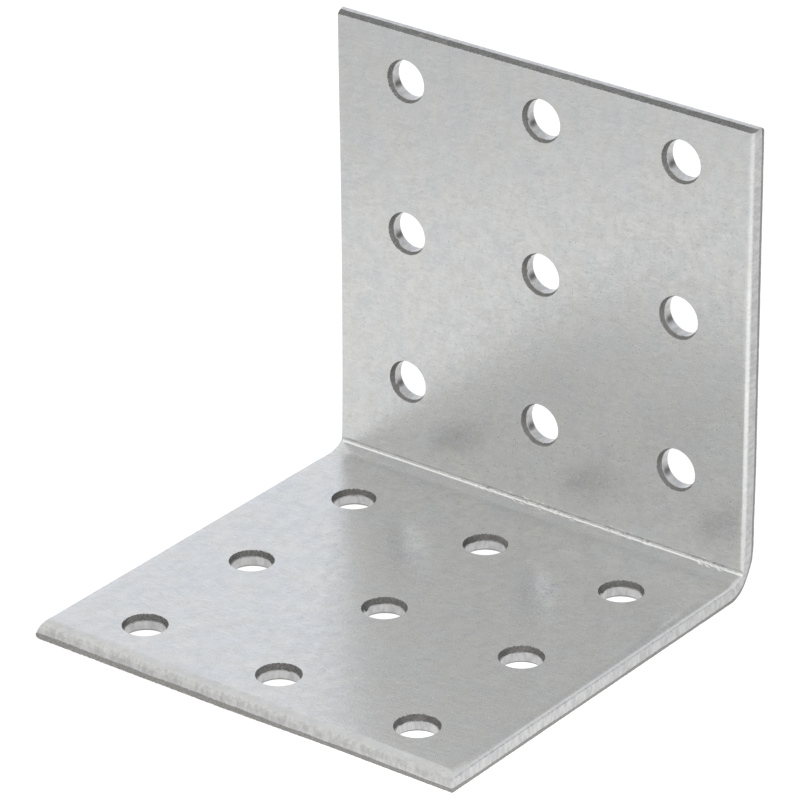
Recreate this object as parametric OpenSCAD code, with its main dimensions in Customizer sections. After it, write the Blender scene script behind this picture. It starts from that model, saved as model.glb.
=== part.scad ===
// Corner brace bracket: one perforated steel strip, bent once to a right angle.
// X runs along the bend, the upright leg stands at the back (+Y), and the base leg lies at z = 0.
// The inner faces are those inside the angle. Every cut in the sheet has a rolled rim on the face
// that the blade entered, then a smooth wall, then a torn wall that leans back to the other face.
// The holes, the top edge and the left side were cut from the outer face. The base leg's front edge
// and the right side were cut from the inner face.

/* [Sheet] */
// Thickness of the sheet
sheet_t = 2.2; // [1.8:0.1:4]
// Width of the bracket, along the bend
body_w = 60; // [50:1:160]
// Length of the base leg, from the upright leg's outer face to the free edge
base_l = 60; // [58:1:160]
// Height of the upright leg, from the base leg's underside to the top edge
upright_h = 60; // [58:1:160]

/* [Bend] */
// Inside radius of the bend
bend_r = 2.5; // [1:0.1:5]
// Height of the fine bead that the bending tool raised inside the bend
bead_h = 0.12; // [0.04:0.01:0.2]
// Radius of that bead
bead_r = 0.3; // [0.25:0.05:0.5]
// Angle between that bead and the upright leg's end of the bend
bead_angle = 25; // [10:1:60]
// Distance from the bracket's side edges to the ends of that bead
bead_end_gap = 0.8; // [0.8:0.1:10]

/* [Holes] */
// Diameter of a punched hole at its smooth wall
hole_d = 5; // [3:0.1:8]
// Distance between neighbouring hole centres, both ways
hole_pitch = 20; // [10:0.5:22]
// Number of holes across the width
hole_columns = 3; // [1:1:3]
// Number of rows of holes in each leg
hole_rows = 3; // [1:1:3]
// Distance from the base leg's free edge to its first row of holes
base_edge_gap = 6.8; // [4.8:0.1:10]
// Distance from the upright leg's top edge to its first row of holes
upright_edge_gap = 6.2; // [4.8:0.1:10]

/* [Punched walls] */
// Radius at which the outer face rolls over into a hole
hole_roll_r = 0.35; // [0.1:0.05:0.45]
// Depth of a hole's torn wall, below the inner face
hole_tear_h = 0.75; // [0.4:0.05:0.9]
// How much further out than its smooth wall a hole's torn wall reaches the inner face
hole_tear_w = 0.25; // [0.05:0.05:0.5]

/* [Sheared edges] */
// Radius at which a side edge rolls over
side_roll_r = 0.5; // [0.1:0.05:0.7]
// Radius at which the top edge rolls over
top_roll_r = 0.5; // [0.1:0.05:0.6]
// Radius at which the base leg's front edge rolls over
front_roll_r = 0.7; // [0.1:0.05:0.8]
// Depth of the right side's torn wall
right_tear_h = 0.35; // [0.1:0.05:0.9]
// Depth of the left side's torn wall
left_tear_h = 0.9; // [0.1:0.05:0.95]
// Depth of the top edge's torn wall
top_tear_h = 1.1; // [0.1:0.05:1.15]
// Depth of the front edge's torn wall
front_tear_h = 0.5; // [0.1:0.05:0.9]
// How far these torn walls lean back
edge_tear_w = 0.1; // [0.05:0.01:0.2]

/* [Hidden] */
zinc_grey = [0.72, 0.73, 0.73];
bend_outer_r = bend_r + sheet_t;
hole_r = hole_d / 2;
cut_past = 1;
$fn = 96;

// What is cut off a square corner, whose sides run along +x and +y, to round it
module corner_waste(radius) {
    difference() {
        translate([-radius, -radius]) square(2 * radius);
        translate([radius, radius]) circle(radius);
    }
}

// What lies beyond a torn wall that rises from depth below y = 0, and leans back towards -x
module tear_waste(depth, lean) {
    polygon([
        [0, -depth],
        [-lean, 0],
        [-lean, cut_past],
        [cut_past, cut_past],
        [cut_past, -depth]
    ]);
}

// Section of the sheet up to an edge at x = reach, which was cut from the face at y = 0
module cut_section(reach, roll_r, tear_h) {
    difference() {
        square([reach, sheet_t]);
        translate([reach, 0]) rotate(90) corner_waste(roll_r);
        translate([reach, sheet_t]) tear_waste(tear_h, edge_tear_w);
    }
}

// Turns such a section over: its edge was cut from the inner face instead, at y = sheet_t
module from_inside() {
    translate([0, sheet_t]) mirror([0, 1]) children();
}

// Section across the whole strip, with the outer face at y = 0
module strip_section() {
    from_inside() cut_section(body_w / 2, side_roll_r, right_tear_h);
    mirror([1, 0]) cut_section(body_w / 2, side_roll_r, left_tear_h);
}

// Half section of a punched hole, with the outer face at y = 0
module hole_section() {
    translate([0, -cut_past]) square([hole_r, sheet_t + 2 * cut_past]);
    translate([hole_r, 0]) corner_waste(hole_roll_r);
    translate([hole_r, sheet_t]) mirror([1, 0]) tear_waste(hole_tear_h, hole_tear_w);
}

// Flat leg from its end of the bend (y = 0) to its free edge (y = reach), with the outer face at z = 0.
// Its child is the leg's section along its length, with the form of that edge.
module leg(reach, edge_gap) {
    first_x = -hole_pitch * (hole_columns - 1) / 2;
    difference() {
        intersection() {
            translate([0, reach, 0]) rotate([90, 0, 0]) linear_extrude(reach) strip_section();
            translate([-body_w / 2, 0, 0]) rotate([90, 0, 90]) linear_extrude(body_w) children();
        }
        for (column = [0 : hole_columns - 1], row = [0 : hole_rows - 1])
            translate([first_x + column * hole_pitch, reach - edge_gap - row * hole_pitch, 0])
                rotate_extrude() hole_section();
    }
}

// Base leg, from the bend forwards
module base_leg() {
    reach = base_l - bend_outer_r;
    mirror([0, 1, 0]) leg(reach, base_edge_gap)
        from_inside() cut_section(reach, front_roll_r, front_tear_h);
}

// Upright leg, from the bend upwards
module upright_leg() {
    reach = upright_h - bend_outer_r;
    rotate([90, 0, 0]) leg(reach, upright_edge_gap)
        cut_section(reach, top_roll_r, top_tear_h);
}

// Quarter turn of the strip between the legs, about the X axis
module bend() {
    rotate([0, 90, 0]) rotate_extrude(angle = 90)
        translate([bend_outer_r, 0]) rotate(90) strip_section();
}

// Fine bead along the inside of the bend, sunk in the sheet up to its height
module tool_bead() {
    bead_l = body_w - 2 * bead_end_gap;
    rotate([-bead_angle, 0, 0]) translate([-bead_l / 2, bend_r + bead_r - bead_h, 0])
        rotate([0, 90, 0]) cylinder(h = bead_l, r = bead_r);
}

module corner_bracket() {
    color(zinc_grey) union() {
        translate([0, base_l / 2 - bend_outer_r, 0]) base_leg();
        translate([0, base_l / 2, bend_outer_r]) upright_leg();
        translate([0, base_l / 2 - bend_outer_r, bend_outer_r]) {
            bend();
            tool_bead();
        }
    }
}

corner_bracket();
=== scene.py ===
import bpy
import math
from mathutils import Matrix, Vector, noise
from mathutils.geometry import delaunay_2d_cdt


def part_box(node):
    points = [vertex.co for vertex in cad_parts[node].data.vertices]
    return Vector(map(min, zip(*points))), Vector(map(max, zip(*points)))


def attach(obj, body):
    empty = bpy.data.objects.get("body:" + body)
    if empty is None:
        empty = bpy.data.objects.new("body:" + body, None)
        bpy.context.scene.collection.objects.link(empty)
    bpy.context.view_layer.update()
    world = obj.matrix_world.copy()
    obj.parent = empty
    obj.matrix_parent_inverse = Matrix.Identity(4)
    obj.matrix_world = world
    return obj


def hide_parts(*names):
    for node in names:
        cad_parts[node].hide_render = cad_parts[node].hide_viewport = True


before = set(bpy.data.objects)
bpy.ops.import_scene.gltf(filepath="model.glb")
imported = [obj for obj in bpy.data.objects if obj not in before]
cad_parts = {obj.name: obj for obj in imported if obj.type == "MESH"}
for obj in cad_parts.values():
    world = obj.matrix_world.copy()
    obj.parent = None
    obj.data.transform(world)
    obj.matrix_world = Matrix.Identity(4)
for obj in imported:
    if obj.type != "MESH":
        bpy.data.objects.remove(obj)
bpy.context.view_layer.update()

# The bracket is a strip of sheet that is bent once. Each point of its skin is given by three lengths in
# millimetres: x across the strip, s along it (0 where the bend starts, at the end of the base leg) and
# n through it (0 at the outer face, SHEET_T at the inner face, which is inside the angle).

MM = 0.001
QUARTER_TURN = math.pi / 2

# Sheet, as in the CAD
SHEET_T = 2.2
BEND_R = 2.5
BEND_OUTER_R = BEND_R + SHEET_T

# Overall size, from the frame
LOW, HIGH = (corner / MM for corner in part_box("corner_bracket"))
HALF_W = HIGH.x
BACK_Y = HIGH.y
BEND_Y = BACK_Y - BEND_OUTER_R
BEND_S = QUARTER_TURN * (BEND_R + SHEET_T / 2)
FRONT_S = LOW.y - BEND_Y
TOP_S = BEND_S + HIGH.z - BEND_OUTER_R


def smoothstep(low, high, value):
    """Goes smoothly from 0 at low to 1 at high, which may be the smaller of the two."""
    t = min(max((value - low) / (high - low), 0.0), 1.0)
    return t * t * (3 - 2 * t)


def bell(distance, width):
    """1 in the middle, and less further away."""
    return math.exp(-(distance / width) ** 2)


def wobble(scale, x, s, n=0.0, seed=0.0):
    """Smooth noise from -1 to 1 whose features are about scale millimetres long."""
    return noise.noise(Vector((x / scale + seed, s / scale, n / scale + 7.3 * seed)))


def place(x, s, n):
    """Point of the bent strip, in millimetres."""
    if s <= 0:
        return Vector((x, BEND_Y + s, n))
    if s < BEND_S:
        turn = s / BEND_S * QUARTER_TURN
        r = BEND_OUTER_R - n
        return Vector((x, BEND_Y + r * math.sin(turn), BEND_OUTER_R - r * math.cos(turn)))
    return Vector((x, BACK_Y - n, BEND_OUTER_R + s - BEND_S))


# Surface relief

# Inner skin of the bend: a low shoulder rises from the base to a tight crease, above which the
# upright's toe stands nearly upright. Radii are distances from the bend's centre.
SHOULDER_ANGLE = math.radians(17)
SHOULDER_R = 2.45
SHOULDER_SOFT = 0.2
TOE_R = 2.33
TOE_LEAN = 0.055
TOE_L = 11.0
HOLLOW_S = -1.3
HOLLOW_W = 0.9
HOLLOW_H = 0.04

# Least cosine of a flat's angle, which keeps its distance along the radius finite
LEAST_COSINE = 0.1

# Crease: it wanders, has a groove just above it, and is ragged and nicked over two stretches across
# the strip. Each stretch starts between its first two places and ends between its last two.
CREASE_S = 3.13
CREASE_SOFT = 0.17
CREASE_REACH = 1.6
CREASE_WANDER = 0.04
RAGGED_WANDER = 0.06
RAGGED_STRETCHES = ((-11, -6, 14, 19), (22, 24, 26, 28.5))
NICK_H = 0.3
NICK_RARITY = 0.1
GROOVE_UP = 0.45
GROOVE_W = 0.13
GROOVE_H = 0.11
RELIEF_FROM = -6.0

# Outer skin of the bend: thinned where the sheet was stretched most, and a little just above that
THINNING = 0.48
THIN_AT = math.radians(57)
THIN_SPREAD = math.radians(29)
THINNING_ABOVE = 0.14
THIN_FULL_L = 4
THIN_END_L = 12

# Slight waviness of rolled strip
WAVE_L = 14
WAVE_H = 0.018
RIPPLE_L = 4
RIPPLE_H = 0.006
OUTER_WAVE_L = 16
OUTER_WAVE_H = 0.012


def soft_max(a, b, soft):
    """The larger of two heights, rounded where they cross."""
    near = max(0.0, soft - abs(a - b)) / soft
    return max(a, b) + near * near * soft / 4


def bend_relief(s):
    """Height of the bend's inner skin over a plain arc."""
    turn = min(max(s / BEND_S, 0.0), 1.0) * QUARTER_TURN
    base = BEND_R - BEND_R / max(math.cos(turn), LEAST_COSINE)
    rise = SHOULDER_R - min(s, 0.0) * math.sin(SHOULDER_ANGLE)
    shoulder = BEND_R - rise / math.cos(turn - SHOULDER_ANGLE)
    if s < BEND_S:
        toe = BEND_R - TOE_R / max(math.sin(turn) + TOE_LEAN * math.cos(turn), LEAST_COSINE)
    else:
        toe = (BEND_R - TOE_R) * max(0.0, 1 - (s - BEND_S) / TOE_L) ** 2
    hollow = HOLLOW_H * bell(s - HOLLOW_S, HOLLOW_W)
    return soft_max(soft_max(base, shoulder, SHOULDER_SOFT), toe, CREASE_SOFT) - hollow


def crease_relief(x, s):
    """The same height with the crease's wandering, nicks and groove."""
    if not RELIEF_FROM < s < BEND_S + TOE_L:
        return 0.0
    up = s - CREASE_S
    if abs(up) > CREASE_REACH:
        return bend_relief(s)
    near = smoothstep(CREASE_REACH, CREASE_REACH / 2, abs(up))
    ragged = sum(smoothstep(a, b, x) * smoothstep(d, c, x) for a, b, c, d in RAGGED_STRETCHES)
    wander = CREASE_WANDER * wobble(5, x, 0, seed=1) + RAGGED_WANDER * ragged * wobble(0.8, x, 0, seed=2)
    nick = NICK_H * ragged * max(0.0, wobble(0.5, x + 1.2 * up, up * 0.7, seed=5) - NICK_RARITY)
    nick *= smoothstep(-0.5, -0.1, up) * smoothstep(0.9, 0.4, up)
    groove = GROOVE_H * (1 + 0.5 * wobble(2, x, 0, seed=3)) * bell(up - wander - GROOVE_UP, GROOVE_W)
    return bend_relief(s - wander * near) + nick - groove


def thinning(s):
    """How much the outer skin lies inside its nominal place in and just above the bend."""
    turn = s / BEND_S * QUARTER_TURN
    bend = THINNING * bell(turn - THIN_AT, THIN_SPREAD)
    fade = smoothstep(BEND_S + THIN_END_L, BEND_S + THIN_FULL_L, s)
    return bend + THINNING_ABOVE * smoothstep(BEND_S / 2, BEND_S, s) * fade


def relief(x, s, n):
    """How far the skin lies off its nominal place, through the sheet."""
    inner = n / SHEET_T
    wave_in = WAVE_H * wobble(WAVE_L, x, s, seed=11) + RIPPLE_H * wobble(RIPPLE_L, x, s / 2, seed=12)
    wave_out = OUTER_WAVE_H * wobble(OUTER_WAVE_L, x, s, seed=13)
    return inner * (wave_in + crease_relief(x, s)) + (1 - inner) * (abs(wave_out) + thinning(s))


# Skin

FAR = 9.0
FACE = 0.0
TORN_WALL = 1.0


class Skin:
    """Points and faces of the bracket's skin. A point on a cut wall also has two lengths, how far it lies
    inside the wall's torn part and how far from the face at which the tear came out, and a share from 0
    to 1 that says how bare of zinc it is. Above 1, that share says how much painted shade lies on the bare
    rim."""

    def __init__(self):
        self.points = []
        self.cuts = []
        self.faces = []
        self.walls = []

    def add(self, x, s, n, tear=-FAR, exit_gap=FAR, bare=0.0):
        self.points.append((x, s, n))
        self.cuts.append((tear, exit_gap, bare))
        return len(self.points) - 1

    def face(self, corners, wall):
        self.faces.append(corners)
        self.walls.append(wall)

    def strip(self, first, second, fineness):
        """Quads between two closed loops of as many points, the first one on the left seen from outside.
        The function fineness says how finely their wall tears at a place along the strip, from 0 to 1."""
        count = len(first)
        for i in range(count):
            j = (i + 1) % count
            wall = TORN_WALL + fineness(self.points[first[i]][1])
            self.face((first[i], second[i], second[j], first[j]), wall)


def steps(start, end, pitch):
    """Evenly spaced values from start up to, but without, end."""
    count = max(1, round(abs(end - start) / pitch))
    return [start + (end - start) * i / count for i in range(count)]


# Outline

CORNER_R = 0.16
CORNER_STEPS = 3
FLAT_PITCH = 0.42
BEND_PITCH = 0.12
BEND_MARGIN = 0.5


def outline():
    """The strip's outline, counter-clockwise seen from inside the angle."""
    path = []
    straight = HALF_W - CORNER_R
    low, high = FRONT_S + CORNER_R, TOP_S - CORNER_R
    sides = steps(low, -BEND_MARGIN, FLAT_PITCH) + steps(-BEND_MARGIN, BEND_S + BEND_MARGIN, BEND_PITCH)
    sides += steps(BEND_S + BEND_MARGIN, high, FLAT_PITCH) + [high]

    def corner(cx, cs, start):
        for i in range(1, CORNER_STEPS):
            turn = math.radians(start + 90 * i / CORNER_STEPS)
            path.append((cx + CORNER_R * math.cos(turn), cs + CORNER_R * math.sin(turn)))

    path += [(x, FRONT_S) for x in steps(-straight, straight, FLAT_PITCH) + [straight]]
    corner(straight, low, -90)
    path += [(HALF_W, s) for s in sides]
    corner(straight, high, 0)
    path += [(x, TOP_S) for x in steps(straight, -straight, FLAT_PITCH) + [-straight]]
    corner(-straight, high, 90)
    path += [(-HALF_W, s) for s in reversed(sides)]
    corner(-straight, low, 180)
    return path


# Sheared edges. The blade rolls the rim over at the face that it enters, and the sheet tears before
# the other face. A roll's R is its depth and its W its width. A lean is how far a wall lies back at
# the face where the tear comes out, and below 0 the wall leans out.

ROLL_SOFT = 2.3
ROLL_SQUARE = 1.8
BARED_FROM = 0.45
BARED_TO = 1.1
TORN_ROUGH_H = 0.03
TORN_GRAIN = 0.9
TORN_FINE_GRAIN = 0.4

# Right side, with a deeper roll at the base leg's front corner and a wider one along the base leg
SIDE_ROLL_R = 0.5
SIDE_ROLL_W = 0.85
BASE_ROLL_W = 1.5
BASE_ROLL_S = -5
CORNER_ROLL_R = 1.25
SIDE_CORNER_SHARE = 0.6
SIDE_CORNER_L = 4
RIGHT_TEAR_H = 0.5
RIGHT_TEAR_WAVE = 0.08
RIGHT_TEAR_CORNER = 0.15
RIGHT_LEAN = 0.02

# Left side, which leans out to a ridge, furthest at the base leg's front corner
LEFT_RIDGE_N = 0.4
LEFT_ROLL_W = 0.7
LEFT_LAND_H = 0.5
LEFT_LEAN = 0.8
LEFT_TIP_LEAN = 0.38
LEFT_TIP_L = 3
LEFT_CURVE = 0.7
LEFT_ROUGH_H = 0.03
LEFT_BOW = 0.07

# Top edge, which rises to the left
TOP_ROLL_R = 0.5
TOP_ROLL_W = 0.5
TOP_TEAR_H = 1.12
TOP_TEAR_WAVE = 0.05
TOP_LEAN = 0.2
TOP_RISE = 0.06
TOP_SKEW = 0.22

# Front edge, with a fine ridge just above its torn wall
FRONT_ROLL_R = 1.2
FRONT_ROLL_W = 1.45
FRONT_CORNER_L = 8
FRONT_BARED_SHARE = 0.5
FRONT_TEAR_H = 0.65
FRONT_TEAR_WAVE = 0.1
FRONT_RIDGE_N = 0.84
FRONT_RIDGE_W = 0.17
FRONT_RIDGE_H = 0.05
RIDGE_TIP_GAIN = 1.5
RIDGE_TIP_FROM = 7
RIDGE_TIP_TO = 3
FRONT_LEAN = 0.06
FRONT_LEAN_LEFT = -0.25
LEAN_CHANGE_FROM = 14
LEAN_CHANGE_TO = -4

# Near a corner each edge also moves the other one's points, less and less up to this distance from it
SLIDE = 5.0

LEVEL_PITCH = 0.09
ROLL_STEPS = 10
RIM_STEPS = 7


def levels():
    """Depths of the edge's loops from the inner face to the outer one, close together at both faces."""
    def roll(i):
        return CORNER_ROLL_R * (1 - math.cos(QUARTER_TURN * i / ROLL_STEPS))

    def rim(i):
        return TOP_ROLL_R * (1 - math.sin(QUARTER_TURN * i / RIM_STEPS))

    upper = [SHEET_T - roll(i) for i in range(ROLL_STEPS)]
    middle = steps(SHEET_T - CORNER_ROLL_R, TOP_ROLL_R, LEVEL_PITCH)
    return upper + middle + [rim(i) for i in range(RIM_STEPS + 1)]


def rollover(depth, radius, width):
    """How far a rolled rim lies back from its wall, at a depth below the face that the blade entered. It
    leaves the face softly and meets the wall squarely."""
    return width * (1 - (1 - max(0.0, 1 - depth / radius) ** ROLL_SQUARE) ** (1 / ROLL_SOFT))


def bared(depth, radius):
    """Share of zinc that the blade wiped off a rolled rim, at a depth below the face that it entered."""
    return smoothstep(BARED_FROM * radius, BARED_TO * radius, depth)


def torn_lean(tear, height, lean, x, s, n):
    """How far a torn wall lies back: it leans evenly, and it is rough."""
    if tear <= 0:
        return 0.0
    rough = abs(wobble(TORN_GRAIN, x, s, 2 * n, seed=23))
    rough += 0.6 * abs(wobble(TORN_FINE_GRAIN, x, s, 2 * n, seed=24))
    return lean * tear / height + TORN_ROUGH_H * rough * min(1.0, 5 * tear)


def right_side(s, n):
    """Inset, tear, exit gap and bareness of the right side, which was cut from the inner face."""
    near_front = smoothstep(FRONT_S + SIDE_CORNER_L, FRONT_S, s)
    roll_r = SIDE_ROLL_R + (CORNER_ROLL_R - SIDE_ROLL_R) * SIDE_CORNER_SHARE * near_front
    roll_w = SIDE_ROLL_W + (BASE_ROLL_W - SIDE_ROLL_W) * smoothstep(BEND_S, BASE_ROLL_S, s)
    height = RIGHT_TEAR_H + RIGHT_TEAR_WAVE * wobble(4, HALF_W, s, seed=21) + RIGHT_TEAR_CORNER * near_front
    tear = height - n
    inset = rollover(SHEET_T - n, roll_r, roll_w) + torn_lean(tear, height, RIGHT_LEAN, HALF_W, s, n)
    return inset, tear, n, bared(SHEET_T - n, roll_r)


def left_side(s, n):
    """Inset, tear, exit gap and bareness of the left side, which was cut from the outer face."""
    tear = n - LEFT_RIDGE_N - LEFT_LAND_H
    lean = LEFT_LEAN + LEFT_TIP_LEAN * smoothstep(FRONT_S + LEFT_TIP_L, FRONT_S, s)
    out = min(1.0, (SHEET_T - n) / (SHEET_T - LEFT_RIDGE_N)) ** LEFT_CURVE
    inset = rollover(n, LEFT_RIDGE_N, LEFT_ROLL_W) - lean * out
    rough = LEFT_ROUGH_H * wobble(0.8, -HALF_W, s, n, seed=25) * smoothstep(0, 0.4, SHEET_T - n)
    up = (s - BEND_S) / (TOP_S - BEND_S)
    bow = LEFT_BOW * (1 + math.cos(2 * math.pi * up)) * smoothstep(0, BEND_S, s)
    return inset + rough - bow, tear, SHEET_T - n, bared(n, LEFT_RIDGE_N)


def top_edge(x, n):
    """Inset, tear, exit gap and bareness of the top edge, which was cut from the outer face."""
    height = TOP_TEAR_H + TOP_TEAR_WAVE * wobble(2.5, x, TOP_S, seed=26)
    tear = n - SHEET_T + height
    rise = TOP_RISE + TOP_SKEW * (HALF_W - x) / (2 * HALF_W)
    inset = rollover(n, TOP_ROLL_R, TOP_ROLL_W) + torn_lean(tear, height, TOP_LEAN, x, TOP_S, n) - rise
    return inset, tear, SHEET_T - n, bared(n, TOP_ROLL_R)


def front_edge(x, n):
    """Inset, tear, exit gap and bareness of the front edge, which was cut from the inner face."""
    roll_r = FRONT_ROLL_R + (CORNER_ROLL_R - FRONT_ROLL_R) * smoothstep(HALF_W - FRONT_CORNER_L, HALF_W, x)
    height = FRONT_TEAR_H + FRONT_TEAR_WAVE * wobble(3, x, FRONT_S, seed=27)
    tear = height - n
    tip = smoothstep(HALF_W - RIDGE_TIP_FROM, HALF_W - RIDGE_TIP_TO, x)
    ridge = FRONT_RIDGE_H * (1 + RIDGE_TIP_GAIN * tip) * bell(n - FRONT_RIDGE_N, FRONT_RIDGE_W)
    lean = FRONT_LEAN + (FRONT_LEAN_LEFT - FRONT_LEAN) * smoothstep(LEAN_CHANGE_FROM, LEAN_CHANGE_TO, x)
    inset = rollover(SHEET_T - n, roll_r, FRONT_ROLL_W) + torn_lean(tear, height, lean, x, FRONT_S, n)
    return inset - ridge, tear, n, bared(SHEET_T - n, FRONT_BARED_SHARE * roll_r)


def edge_point(x, s, n):
    """Where a point of the outline lies at a depth, with its tear. Near a corner both edges move it."""
    side = right_side(s, n) if x > 0 else left_side(s, n)
    end = top_edge(x, n) if s > 0 else front_edge(x, n)
    to_side = HALF_W - abs(x)
    to_end = TOP_S - s if s > 0 else s - FRONT_S
    x -= side[0] * math.copysign(1, x) * max(0.0, 1 - to_side / SLIDE)
    s -= end[0] * math.copysign(1, s) * max(0.0, 1 - to_end / SLIDE)
    nearest = side if to_side < to_end else end
    return x, s, n, *nearest[1:]


def edge_fineness(s):
    """All the edges tear finely but the top one."""
    return float(s < TOP_S - 1)


def build_edges(skin):
    """The whole outline's edge. Returns the loops that bound the inner and the outer face."""
    path = outline()
    loops = [[skin.add(*edge_point(x, s, n)) for x, s in path] for n in levels()]
    for upper, lower in zip(loops, loops[1:]):
        skin.strip(upper, lower, edge_fineness)
    return loops[0], loops[-1]


# Holes, as in the CAD, but with torn walls that are ragged and flare slightly more

HOLE_R = 2.5
HOLE_PITCH = 20.0
BASE_EDGE_GAP = 6.8
UPRIGHT_EDGE_GAP = 6.2
HOLE_ROLL_R = 0.35
HOLE_TEAR_H = 0.75
HOLE_TEAR_W = 0.27
HOLE_SEGMENTS = 80
HOLE_TEAR_STEPS = 7
HOLE_LAND_STEPS = 4
HOLE_ROLL_STEPS = 6

# The torn wall's height varies: it is less at a hole's lower or front side, a few bites reach further,
# and layers of noise, given as (height, length, seed), make it ragged
LOWER_TEAR_LOSS = 0.35
TEAR_WAVES = ((0.06, 1.3, 31), (0.03, 0.5, 32))
BASE_TEAR_WAVES = ((0.14, 2.4, 36), (0.05, 0.6, 37))
BITE_L = 1.4
BITE_GAIN = 1.4
BITE_RARITY = 0.36
HOLE_ROUGH_H = 0.03
HOLE_FINE_ROUGH_H = 0.015

# In the upright leg the tear is finer low down, the rim's painted shade is weaker, and the land has a
# painted dark reflection as a spot
FINE_SHARE = 0.9
FINE_FROM = 2.2
FINE_TO = -1.0
RIM_SHADE_SHARE = 0.3
SPOT_AT = math.radians(208)
SPOT_SPREAD = math.radians(11)
SPOT_FROM_N = 1.6
SPOT_TO_N = 1.1


def hole_places():
    """Centres of the holes on the strip."""
    places = []
    for row in range(3):
        for column in range(3):
            x = (column - 1) * HOLE_PITCH
            places.append((x, FRONT_S + BASE_EDGE_GAP + row * HOLE_PITCH))
            places.append((x, TOP_S - UPRIGHT_EDGE_GAP - row * HOLE_PITCH))
    return places


def hole_tear(px, ps, turn, in_base):
    """Height of a hole's torn wall at a point of its rim."""
    ragged = sum(h * wobble(length, px, ps, seed=seed) for h, length, seed in TEAR_WAVES)
    if in_base:
        ragged += sum(h * wobble(length, px, ps, seed=seed) for h, length, seed in BASE_TEAR_WAVES)
    bite = max(0.0, wobble(BITE_L, px, ps, seed=33) - BITE_RARITY)
    return HOLE_TEAR_H * (1 - LOWER_TEAR_LOSS * max(0.0, -math.sin(turn))) + ragged + BITE_GAIN * bite


def hole_stations(cx, cs, turn):
    """Section through a hole's wall: (radius, n, tear) from the inner face to the outer one."""
    px, ps = cx + HOLE_R * math.cos(turn), cs + HOLE_R * math.sin(turn)
    height = hole_tear(px, ps, turn, cs < 0)
    section = []
    for i in range(HOLE_TEAR_STEPS + 1):
        t = i / HOLE_TEAR_STEPS
        depth = height * t
        rough = HOLE_ROUGH_H * wobble(0.5, px, ps, depth, seed=34)
        rough += HOLE_FINE_ROUGH_H * wobble(0.25, px, ps, depth, seed=35)
        radius = HOLE_R + HOLE_TEAR_W * (1 - t) + rough * min(1.0, 4 * t, 4 * (1 - t))
        section.append((radius, SHEET_T - depth, height - depth))
    for i in range(1, HOLE_LAND_STEPS):
        n = SHEET_T - height + (HOLE_ROLL_R - SHEET_T + height) * i / HOLE_LAND_STEPS
        section.append((HOLE_R, n, n - SHEET_T + height))
    for i in range(HOLE_ROLL_STEPS + 1):
        roll = QUARTER_TURN * i / HOLE_ROLL_STEPS
        n = HOLE_ROLL_R * (1 - math.sin(roll))
        section.append((HOLE_R + HOLE_ROLL_R * (1 - math.cos(roll)), n, n - SHEET_T + height))
    return section


def painted_shade_share(cs, turn, n):
    """How much painted shade a hole's wall has: at its rolled rim, and in the upright leg also a painted
    dark reflection at its lower left.
    """
    rim = smoothstep(HOLE_ROLL_R, HOLE_ROLL_R / 2, n)
    if cs < 0:
        return rim
    spot = bell(turn - SPOT_AT, SPOT_SPREAD) * smoothstep(SPOT_FROM_N, SPOT_TO_N, n)
    return max(RIM_SHADE_SHARE * rim, spot)


def build_hole(skin, cx, cs):
    """One punched hole. Returns the loops that bound it on the inner and the outer face."""
    turns = [2 * math.pi * i / HOLE_SEGMENTS for i in range(HOLE_SEGMENTS)]
    sections = [hole_stations(cx, cs, turn) for turn in turns]
    loops = []
    for k in range(len(sections[0])):
        loop = []
        for turn, section in zip(turns, sections):
            r, n, tear = section[k]
            x, s = cx + r * math.cos(turn), cs + r * math.sin(turn)
            # Above 1, the third length carries the wall's painted shade
            loop.append(skin.add(x, s, n, tear, SHEET_T - n, 1 + painted_shade_share(cs, turn, n)))
        loops.append(loop)

    def fineness(s):
        return FINE_SHARE * smoothstep(cs + FINE_FROM, cs + FINE_TO, s) if cs > 0 else 0.0

    for upper, lower in zip(loops, loops[1:]):
        skin.strip(lower, upper, fineness)
    return loops[0], loops[-1]


# Faces

# Distances between points along and across the strip: on the flats of either face, and on the inner
# face also round the bend and at its crease
INNER_PITCH = 0.8
OUTER_PITCH = 1.6
OUTER_BEND_PITCH = 0.15
OUTER_BEND_PITCH_X = 1.2
INNER_BEND_PITCH = 0.18
INNER_TOE_PITCH = 0.15
INNER_BEND_PITCH_X = 0.6
CREASE_PITCH = 0.065
CREASE_PITCH_X = 0.22

# Distances that those points keep from the edges and the holes, and by which rows pass a form
FRONT_MARGIN = 1.5
SIDE_MARGIN = 1.0
OUTER_TOP_MARGIN = 0.9
INNER_TOP_MARGIN = 0.5
HOLE_MARGIN = 0.3
BEND_OVERLAP = 0.6
TOE_OVERLAP = 1.5
CREASE_BELOW = 0.9
CREASE_ABOVE = 1.1
MERGE_DISTANCE = 1e-6


def outer_rows():
    """(s, pitch in x) of each row of points on the outer face."""
    bend_end = BEND_S + BEND_OVERLAP
    rows = [(s, OUTER_PITCH) for s in steps(FRONT_S + FRONT_MARGIN, -BEND_OVERLAP, OUTER_PITCH)]
    rows += [(s, OUTER_BEND_PITCH_X) for s in steps(-BEND_OVERLAP, bend_end, OUTER_BEND_PITCH)]
    return rows + [(s, OUTER_PITCH) for s in steps(bend_end, TOP_S - OUTER_TOP_MARGIN, OUTER_PITCH)]


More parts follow.
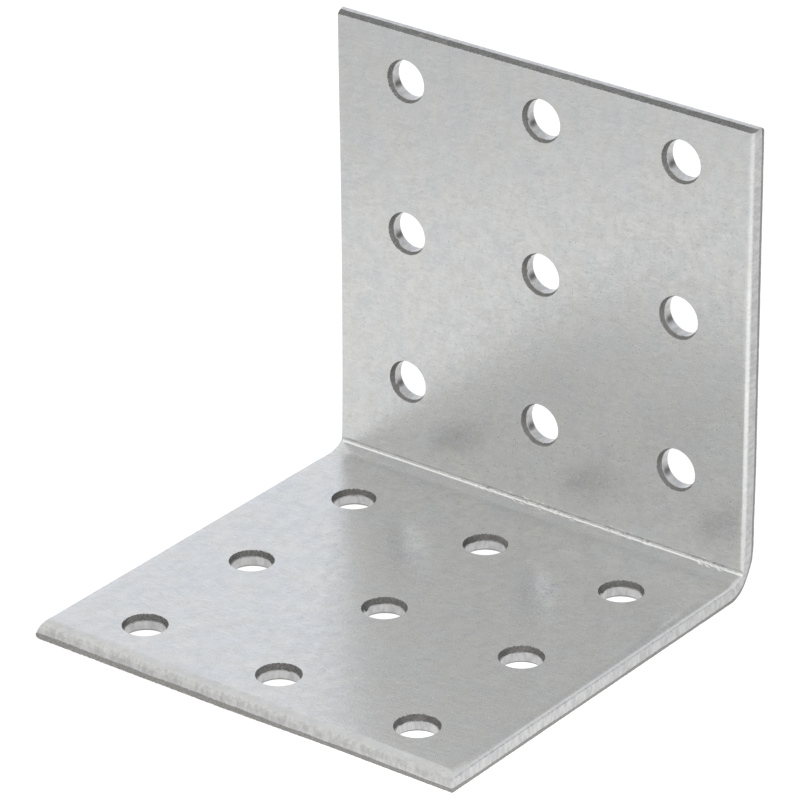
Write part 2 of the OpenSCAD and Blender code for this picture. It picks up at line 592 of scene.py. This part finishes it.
def inner_rows():
    """(s, pitch in x) of each row of points on the inner face."""
    crease_start, crease_end = CREASE_S - CREASE_BELOW, CREASE_S + CREASE_ABOVE
    toe_end = BEND_S + TOE_OVERLAP
    rows = [(s, INNER_PITCH) for s in steps(FRONT_S + FRONT_MARGIN, -BEND_OVERLAP, INNER_PITCH)]
    rows += [(s, INNER_BEND_PITCH_X) for s in steps(-BEND_OVERLAP, crease_start, INNER_BEND_PITCH)]
    rows += [(s, CREASE_PITCH_X) for s in steps(crease_start, crease_end, CREASE_PITCH)]
    rows += [(s, INNER_BEND_PITCH_X) for s in steps(crease_end, toe_end, INNER_TOE_PITCH)]
    return rows + [(s, INNER_PITCH) for s in steps(toe_end, TOP_S - INNER_TOP_MARGIN, INNER_PITCH)]


def loop_edges(loops):
    """Pairs of neighbours along closed loops whose points are numbered one loop after the other."""
    edges = []
    start = 0
    for loop in loops:
        count = len(loop)
        edges += [(start + i, start + (i + 1) % count) for i in range(count)]
        start += count
    return edges


def build_face(skin, n, border, hole_loops, rows, inner):
    """Flat skin between the outline's loop and the holes' loops, with a grid of points for its relief."""
    loops = [border] + hole_loops
    known = [index for loop in loops for index in loop]
    flat = [Vector(skin.points[index][:2]) for index in known]
    hole_of = {index: k for k, loop in enumerate(hole_loops) for index in loop}
    centres = hole_places()
    keep_off = HOLE_R + max(HOLE_ROLL_R, HOLE_TEAR_W) + HOLE_MARGIN
    reach = HALF_W - SIDE_MARGIN
    for s, pitch in rows:
        for x in steps(-reach, reach, pitch) + [reach]:
            if all((x - cx) ** 2 + (s - cs) ** 2 > keep_off ** 2 for cx, cs in centres):
                flat.append(Vector((x, s)))
                known.append(skin.add(x, s, n))
    _, _, triangles, origins, _, _ = delaunay_2d_cdt(flat, loop_edges(loops), [], 1, MERGE_DISTANCE)
    names = [known[origin[0]] for origin in origins]
    for triangle in triangles:
        corners = tuple(names[i] for i in triangle)
        hole = hole_of.get(corners[0])
        if hole is not None and hole == hole_of.get(corners[1]) == hole_of.get(corners[2]):
            continue
        skin.face(corners if inner else corners[::-1], FACE)


# Bracket

SHARP_ANGLE = math.radians(38)


def make_skin():
    skin = Skin()
    inner_border, outer_border = build_edges(skin)
    inner_holes, outer_holes = [], []
    for cx, cs in hole_places():
        inner_loop, outer_loop = build_hole(skin, cx, cs)
        inner_holes.append(inner_loop)
        outer_holes.append(outer_loop)
    build_face(skin, SHEET_T, inner_border, inner_holes, inner_rows(), True)
    build_face(skin, 0.0, outer_border, outer_holes, outer_rows(), False)
    return skin


def make_bracket():
    """The dressed bracket as one closed mesh."""
    skin = make_skin()
    mesh = bpy.data.meshes.new("bracket_skin")
    mesh.from_pydata([place(x, s, n + relief(x, s, n)) * MM for x, s, n in skin.points], [], skin.faces)
    sheet = mesh.attributes.new("sheet", "FLOAT_VECTOR", "POINT")
    sheet.data.foreach_set("vector", [value for point in skin.points for value in point])
    cut = mesh.attributes.new("cut", "FLOAT_VECTOR", "POINT")
    cut.data.foreach_set("vector", [value for lengths in skin.cuts for value in lengths])
    wall = mesh.attributes.new("wall", "FLOAT", "FACE")
    wall.data.foreach_set("value", skin.walls)
    mesh.shade_smooth()
    mesh.set_sharp_from_angle(angle=SHARP_ANGLE)
    bracket = bpy.data.objects.new("bracket_sheet", mesh)
    bpy.context.scene.collection.objects.link(bracket)
    return bracket


# Material

class Nodes:
    """Short way to add shader nodes and to link them."""

    def __init__(self, tree):
        self.tree = tree
        tree.nodes.clear()

    def add(self, kind, inputs=None, **settings):
        node = self.tree.nodes.new(kind)
        for name, value in settings.items():
            setattr(node, name, value)
        for name, value in (inputs or {}).items():
            self.feed(node.inputs[name], value)
        return node

    def feed(self, socket, value):
        if isinstance(value, bpy.types.NodeSocket):
            self.tree.links.new(value, socket)
        else:
            socket.default_value = value

    def attribute(self, name, output):
        return self.add("ShaderNodeAttribute", attribute_name=name).outputs[output]

    def split(self, vector):
        return self.add("ShaderNodeSeparateXYZ", {0: vector}).outputs

    def math(self, operation, a, b=0.0, clamp=False):
        node = self.add("ShaderNodeMath", {0: a, 1: b}, operation=operation, use_clamp=clamp)
        return node.outputs[0]

    def plus(self, a, b):
        return self.math("ADD", a, b)

    def minus(self, a, b, clamp=False):
        return self.math("SUBTRACT", a, b, clamp)

    def times(self, a, b):
        return self.math("MULTIPLY", a, b)

    def away(self, value, centre):
        """How far a value lies from a centre, on either side."""
        return self.math("ABSOLUTE", self.minus(value, centre))

    def scaled(self, vector, factors):
        node = self.add("ShaderNodeVectorMath", {0: vector, 1: factors}, operation="MULTIPLY")
        return node.outputs[0]

    def noise(self, vector, scale, detail=2.0, rough=0.5, distortion=0.0):
        inputs = {"Vector": vector, "Scale": scale, "Detail": detail, "Roughness": rough}
        inputs["Distortion"] = distortion
        return self.add("ShaderNodeTexNoise", inputs).outputs["Fac"]

    def ramp(self, value, low, high, to_low=0.0, to_high=1.0):
        inputs = {0: value, 1: low, 2: high, 3: to_low, 4: to_high}
        return self.add("ShaderNodeMapRange", inputs, interpolation_type="SMOOTHSTEP").outputs[0]

    def mix(self, factor, a, b):
        node = self.add("ShaderNodeMix", {0: factor, 6: a, 7: b}, data_type="RGBA")
        return node.outputs[2]

    def blend(self, factor, a, b):
        node = self.add("ShaderNodeMix", {0: factor, 2: a, 3: b}, data_type="FLOAT")
        return node.outputs[0]


def grey(level):
    return (level, level, level, 1)


# Colours
ZINC_COOL = (0.570, 0.577, 0.583, 1)
ZINC_WARM = (0.588, 0.589, 0.579, 1)
LAND_LIGHT = grey(0.505)
LAND_DARK = grey(0.39)
COARSE_DARK = (0.15, 0.148, 0.146, 1)
COARSE_LIGHT = (0.26, 0.257, 0.252, 1)
FINE_DARK = (0.24, 0.236, 0.23, 1)
FINE_LIGHT = (0.34, 0.335, 0.325, 1)
# Burr at the tear's end, in a colour lighter than bare steel that paints its glint
BURR_GLINT_COLOUR = grey(0.7)
# Painted shade of the hole rims, and of the dark reflection in the upright holes' lands
PAINTED_SHADE_COLOUR = (0.15, 0.143, 0.136, 1)
# Burnished crease line, painted lighter than the zinc as the crease's highlight
BURNISH_HIGHLIGHT_COLOUR = grey(0.78)
# Painted shade of the thin dark line just above the crease
CREASE_SHADE_COLOUR = grey(0.4)

# How much each pattern, painted light and shade among them, lightens or darkens the zinc
CLOUD_DARK = 0.955
CLOUD_LIGHT = 1.035
GRAIN_LEVEL = 0.013
WRINKLE_LEVEL = 0.055
MARK_LEVEL = 0.08
GLINT_LEVEL = 0.12
SHOULDER_SHEEN_LEVEL = 0.065
PAINTED_SHEEN_LEVEL = 0.06
LINE_SHARE = 0.8
SHADE_SHARE = 0.85

# Places of the painted light and shade at the crease, as distances above it, and of the painted sheen on the
# skin before the bend
SHADE_UP = 0.4
SHOULDER_SHEEN_UP = -1.1
SHEEN_FROM_S = -9
SHEEN_FULL_S = -3
SHEEN_END_S = 2
SHEEN_FROM_X = 0
SHEEN_FULL_X = 20
INNER_FROM_N = 1.5
INNER_TO_N = 2.1

# Finish
METALLIC = 0.9
ZINC_ROUGH = 0.27
ZINC_SMOOTH = 0.21
MARK_ROUGH = 0.15
LAND_ROUGH = 0.16
TORN_ROUGH = 0.6
BUMP_STRENGTH = 0.2
BUMP_H = 0.2 * MM
CLOUD_BUMP = 0.5
GRAIN_BUMP = 0.16
MARK_BUMP = 0.25
GRIT_BUMP = 0.8


def crease_light_and_shade(n, sheet, jag):
    """The crease's burnished line, painted lighter as its highlight, the painted shade just above it, and
    the painted sheen below it and on the skin before the bend.
    """
    x, s, depth = n.split(sheet)
    above = n.plus(n.minus(s, CREASE_S), n.ramp(jag, 0.3, 0.7, -0.06, 0.06))
    # The burnished line, painted lighter as the crease's highlight, and the painted shade just above it
    line = n.ramp(n.away(above, 0.0), 0.12, 0.22, LINE_SHARE, 0)
    shade = n.ramp(n.away(above, SHADE_UP), 0.08, 0.22, SHADE_SHARE, 0)
    # Painted sheen below the crease and on the skin just before the bend
    shoulder_sheen = n.ramp(n.away(above, SHOULDER_SHEEN_UP), 0.7, 1.5, SHOULDER_SHEEN_LEVEL, 0)
    painted_sheen = n.times(n.ramp(s, SHEEN_FROM_S, SHEEN_FULL_S, 0, PAINTED_SHEEN_LEVEL), n.ramp(x, SHEEN_FROM_X, SHEEN_FULL_X))
    painted_sheen = n.plus(shoulder_sheen, n.times(painted_sheen, n.ramp(s, SHEEN_END_S, 0)))
    inside = n.ramp(depth, INNER_FROM_N, INNER_TO_N)
    return [n.times(mark, inside) for mark in (line, shade, painted_sheen)]


def fine_marks(n, sheet):
    """Dark marks of the skin: short wavy lines and small specks. Then its few light specks."""
    contour = n.noise(n.scaled(sheet, (0.6, 1.25, 1)), 1.15, 3, 0.55, 0.9)
    line = n.ramp(n.away(contour, 0.5), 0.008, 0.032, 1, 0)
    dash = n.times(line, n.ramp(n.noise(sheet, 1.7, 2), 0.52, 0.66, 0, 0.6))
    cells = n.add("ShaderNodeTexVoronoi", {"Vector": sheet, "Scale": 1.25}).outputs
    pick = n.split(cells["Color"])
    dot = n.ramp(cells["Distance"], 0.06, 0.2, 1, 0)
    speck = n.times(dot, n.ramp(pick[0], 0.84, 0.92))
    glint = n.times(dot, n.ramp(pick[1], 0.93, 0.96))
    return n.math("MAXIMUM", dash, speck), glint


def wrinkles(n, sheet):
    """Lit and shaded flanks of the skin's fine wrinkles, which lie across the strip."""
    long = n.scaled(sheet, (0.7, 1.15, 1))
    moved = n.add("ShaderNodeVectorMath", {0: long, 1: (-0.07, 0.21, 0)}, operation="ADD").outputs[0]
    flank = n.minus(n.noise(long, 1.1, 1.4, 0.5, 0.6), n.noise(moved, 1.1, 1.4, 0.5, 0.6))
    patch = n.ramp(n.noise(sheet, 0.35, 2), 0.35, 0.65, 0.3, 1.0)
    return n.times(n.ramp(flank, -0.2, 0.2, -1, 1), patch)


def zinc_colour(n, sheet, jag, clouds, grain, marks, glint):
    """Colour of the zinc skin with all its marks, and with the painted light and shade at the crease."""
    tint = n.mix(n.ramp(n.noise(sheet, 0.3, 3, 0.6), 0.35, 0.65), ZINC_COOL, ZINC_WARM)
    line, shade, painted_sheen = crease_light_and_shade(n, sheet, jag)
    level = n.ramp(clouds, 0.32, 0.68, CLOUD_DARK, CLOUD_LIGHT)
    level = n.plus(level, n.ramp(grain, 0.3, 0.7, -GRAIN_LEVEL, GRAIN_LEVEL))
    level = n.plus(level, painted_sheen)
    level = n.plus(level, n.times(wrinkles(n, sheet), WRINKLE_LEVEL))
    level = n.minus(level, n.times(marks, MARK_LEVEL))
    level = n.plus(level, n.times(glint, GLINT_LEVEL))
    zinc = n.add("ShaderNodeVectorMath", {0: tint, "Scale": level}, operation="SCALE").outputs[0]
    # The crease's painted shade, then its burnished line painted lighter as its highlight
    return n.mix(line, n.mix(shade, zinc, CREASE_SHADE_COLOUR), BURNISH_HIGHLIGHT_COLOUR)


def cut_zones(n, wall, grit, jag):
    """Where the cut walls are smooth, torn, burred at the tear's end, and painted with shade at a rolled
    rim.
    """
    tear, exit_gap, bare = n.split(n.attribute("cut", "Vector"))
    torn_edge = n.plus(tear, n.ramp(jag, 0.3, 0.7, -0.04, 0.04))
    torn = n.times(wall, n.ramp(torn_edge, -0.04, 0.05))
    uneven_bare = n.plus(bare, n.ramp(jag, 0.3, 0.7, -0.3, 0.3))
    land = n.minus(n.times(wall, n.ramp(uneven_bare, 0.1, 0.9)), torn, clamp=True)
    burr = n.times(n.times(torn, n.ramp(exit_gap, 0.1, 0.02)), n.ramp(grit, 0.45, 0.6))
    painted_shade = n.times(wall, n.minus(bare, 1.0, clamp=True))
    return land, torn, burr, painted_shade


def land_colour(n, sheet):
    """Colour of a smooth cut wall, with streaks through the sheet."""
    streaks = n.noise(n.scaled(sheet, (1.9, 1.9, 0.7)), 0.9, 4, 0.65)
    return n.mix(n.ramp(streaks, 0.35, 0.65), LAND_LIGHT, LAND_DARK)


def tear_colour(n, sheet, fine, grit):
    """Colour of a torn wall: it is lighter where it tore finely, and in patches elsewhere."""
    coarse_tear = n.mix(n.ramp(grit, 0.4, 0.68), COARSE_DARK, COARSE_LIGHT)
    fine_tear = n.mix(n.ramp(grit, 0.4, 0.68), FINE_DARK, FINE_LIGHT)
    fine = n.math("MAXIMUM", fine, n.ramp(n.noise(sheet, 0.4, 2), 0.45, 0.7, 0, 0.6))
    return n.mix(fine, coarse_tear, fine_tear)


def galvanised_steel():
    """Rolled zinc skin, with the bare walls where the sheet was cut: smooth at first, then torn."""
    material = bpy.data.materials.new("galvanised_steel")
    material.use_nodes = True
    n = Nodes(material.node_tree)
    sheet = n.attribute("sheet", "Vector")
    tear_kind = n.attribute("wall", "Fac")
    wall = n.math("MINIMUM", tear_kind, TORN_WALL)
    fine = n.minus(tear_kind, TORN_WALL, clamp=True)
    grit = n.noise(sheet, 5.0, 3, 0.7)
    jag = n.noise(sheet, 2.2, 3, 0.6)
    clouds = n.noise(n.scaled(sheet, (0.9, 0.65, 1)), 0.8, 5, 0.68, 0.3)
    grain = n.noise(n.scaled(sheet, (0.8, 1.2, 1)), 3.6, 3, 0.65)
    marks, glint = fine_marks(n, sheet)
    land, torn, burr, painted_shade = cut_zones(n, wall, grit, jag)

    colour = zinc_colour(n, sheet, jag, clouds, grain, marks, glint)
    colour = n.mix(land, colour, land_colour(n, sheet))
    colour = n.mix(torn, colour, tear_colour(n, sheet, fine, grit))
    # Burrs, lightened as a painted glint
    colour = n.mix(burr, colour, BURR_GLINT_COLOUR)
    # Painted shade at the hole rims and in the upright holes' lands
    colour = n.mix(painted_shade, colour, PAINTED_SHADE_COLOUR)

    rough = n.plus(n.ramp(clouds, 0.3, 0.7, ZINC_ROUGH, ZINC_SMOOTH), n.times(marks, MARK_ROUGH))
    rough = n.blend(land, rough, LAND_ROUGH)
    rough = n.blend(torn, rough, TORN_ROUGH)

    height = n.plus(n.times(clouds, CLOUD_BUMP), n.times(grain, GRAIN_BUMP))
    height = n.minus(height, n.times(marks, MARK_BUMP))
    height = n.plus(height, n.times(n.times(grit, torn), GRIT_BUMP))
    bump = n.add("ShaderNodeBump", {"Height": height, "Strength": BUMP_STRENGTH, "Distance": BUMP_H})

    shader = n.add("ShaderNodeBsdfPrincipled", {
        "Base Color": colour, "Metallic": METALLIC, "Roughness": rough, "Normal": bump.outputs[0]})
    n.add("ShaderNodeOutputMaterial", {"Surface": shader.outputs[0]})
    return material


# Floor: a white table that glows, with a bright pool before the bracket's right side and a dimmer
# left foreground. Places are in metres.

FLOOR_REACH = 3.0
FLOOR_TONE = grey(0.08)
FLOOR_GLOW = 1.0
POOL_GLOW = 0.55
POOL_AT = (0.075, -0.03, 0)
POOL_REACH = 0.09
DIM_GLOW = 0.72
DIM_DIRECTION = (-0.609, -0.793, 0)
DIM_FROM = 0.058
DIM_TO = 0.115


def floor_glow(n):
    """Light that the floor gives off."""
    at = n.add("ShaderNodeTexCoord").outputs["Object"]
    to_pool = n.add("ShaderNodeVectorMath", {0: at, 1: POOL_AT}, operation="DISTANCE").outputs["Value"]
    pool = n.times(n.ramp(to_pool, 0.0, POOL_REACH, 1, 0), POOL_GLOW)
    left = n.add("ShaderNodeVectorMath", {0: at, 1: DIM_DIRECTION}, operation="DOT_PRODUCT")
    base = n.ramp(left.outputs["Value"], DIM_FROM, DIM_TO, FLOOR_GLOW, DIM_GLOW)
    return n.plus(base, pool)


def make_floor():
    mesh = bpy.data.meshes.new("floor")
    corners = [(-FLOOR_REACH, -FLOOR_REACH, 0), (FLOOR_REACH, -FLOOR_REACH, 0),
               (FLOOR_REACH, FLOOR_REACH, 0), (-FLOOR_REACH, FLOOR_REACH, 0)]
    mesh.from_pydata(corners, [], [(0, 1, 2, 3)])
    floor = bpy.data.objects.new("floor", mesh)
    bpy.context.scene.collection.objects.link(floor)
    material = bpy.data.materials.new("floor_white")
    material.use_nodes = True
    n = Nodes(material.node_tree)
    shader = n.add("ShaderNodeBsdfPrincipled", {
        "Base Color": FLOOR_TONE, "Roughness": 0.9, "Specular IOR Level": 0.0,
        "Emission Color": grey(1), "Emission Strength": floor_glow(n)})
    n.add("ShaderNodeOutputMaterial", {"Surface": shader.outputs[0]})
    mesh.materials.append(material)


# Surround: white, brightest low down, cooler at the back, and with a dark gap behind the bracket

SKY_BACK = (1.1, 1.125, 1.177, 1)
SKY_FRONT = (1.222, 1.22, 1.19, 1)
SKY_TOP = grey(1)
BACK_FROM = -0.2
BACK_TO = 0.4
TOP_FROM = 0.5
TOP_TO = 0.72
GAP_AT = (0.60, 0.70, 0.35)
GAP_FROM = 0.95
GAP_TO = 0.99
GAP_GLOW = grey(0.6)


def make_sky():
    world = bpy.data.worlds.new("studio")
    world.use_nodes = True
    n = Nodes(world.node_tree)
    direction = n.add("ShaderNodeTexCoord").outputs["Generated"]
    _, back, up = n.split(direction)
    low = n.mix(n.ramp(back, BACK_FROM, BACK_TO), SKY_FRONT, SKY_BACK)
    tone = n.mix(n.ramp(up, TOP_FROM, TOP_TO), low, SKY_TOP)
    to_gap = n.add("ShaderNodeVectorMath", {0: direction, 1: GAP_AT}, operation="DOT_PRODUCT")
    tone = n.mix(n.ramp(to_gap.outputs["Value"], GAP_FROM, GAP_TO), tone, GAP_GLOW)
    background = n.add("ShaderNodeBackground", {"Color": tone, "Strength": 1.0})
    n.add("ShaderNodeOutputWorld", {"Surface": background.outputs[0]})
    bpy.context.scene.world = world


# Camera

CAMERA_AT = Vector((349.32, -455.54, 311.97)) * MM
CAMERA_AIM = Vector((-0.722, 1.07, 27.608)) * MM
CAMERA_ROLL = math.radians(-0.438)
CAMERA_LENS = 248.18
CAMERA_SENSOR = 36
CLIP_START = 0.01
CLIP_END = 20


def make_camera():
    data = bpy.data.cameras.new("camera")
    data.lens = CAMERA_LENS
    data.sensor_width = CAMERA_SENSOR
    data.clip_start = CLIP_START
    data.clip_end = CLIP_END
    camera = bpy.data.objects.new("camera", data)
    aim = (CAMERA_AIM - CAMERA_AT).to_track_quat("-Z", "Y").to_matrix().to_4x4()
    camera.matrix_world = Matrix.Translation(CAMERA_AT) @ aim @ Matrix.Rotation(CAMERA_ROLL, 4, "Z")
    bpy.context.scene.collection.objects.link(camera)
    bpy.context.scene.camera = camera


bpy.context.scene.view_settings.view_transform = "Standard"
make_floor()
make_sky()
make_camera()

bracket = make_bracket()
bracket.data.materials.append(galvanised_steel())
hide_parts("corner_bracket")
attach(bracket, "root")
